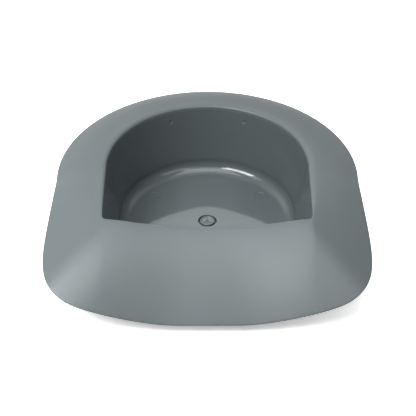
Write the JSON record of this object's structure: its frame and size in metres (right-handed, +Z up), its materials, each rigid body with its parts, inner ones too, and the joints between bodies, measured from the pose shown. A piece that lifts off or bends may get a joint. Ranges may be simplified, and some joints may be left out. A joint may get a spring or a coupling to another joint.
{
  "type": "pet bathtub",
  "caption": "Round-backed pet bathtub with a wide drooping flange, a scooped front lip, rubber feet and a push-in drain plug.",
  "frame": {"origin": "centre of the overall footprint box, at the level the feet stand on", "axes": "+Z up, +Y to the round back, +X to the right seen from the front"},
  "size_m": [0.661, 0.66, 0.1691],
  "materials": {
    "shell": "polished basin, satin flange",
    "fitting": "gloss",
    "plug": "gloss",
    "rubber": "matte"
  },
  "bodies": {
    "tub": {"tub_shell": "shell", "drain_fitting": "fitting", "fitting_gasket": "rubber", "lock_nut": "fitting", "foot_front_left": "rubber", "foot_front_right": "rubber", "foot_rear_left": "rubber", "foot_rear_right": "rubber"},
    "plug": {"drain_plug": "plug", "plug_seal": "rubber"}
  },
  "joints": [
    {"name": "plug_lift", "type": "slide", "parent": "tub", "child": "plug", "axis": [0, 0, 1], "range_m": [0, 0.19]}
  ]
}
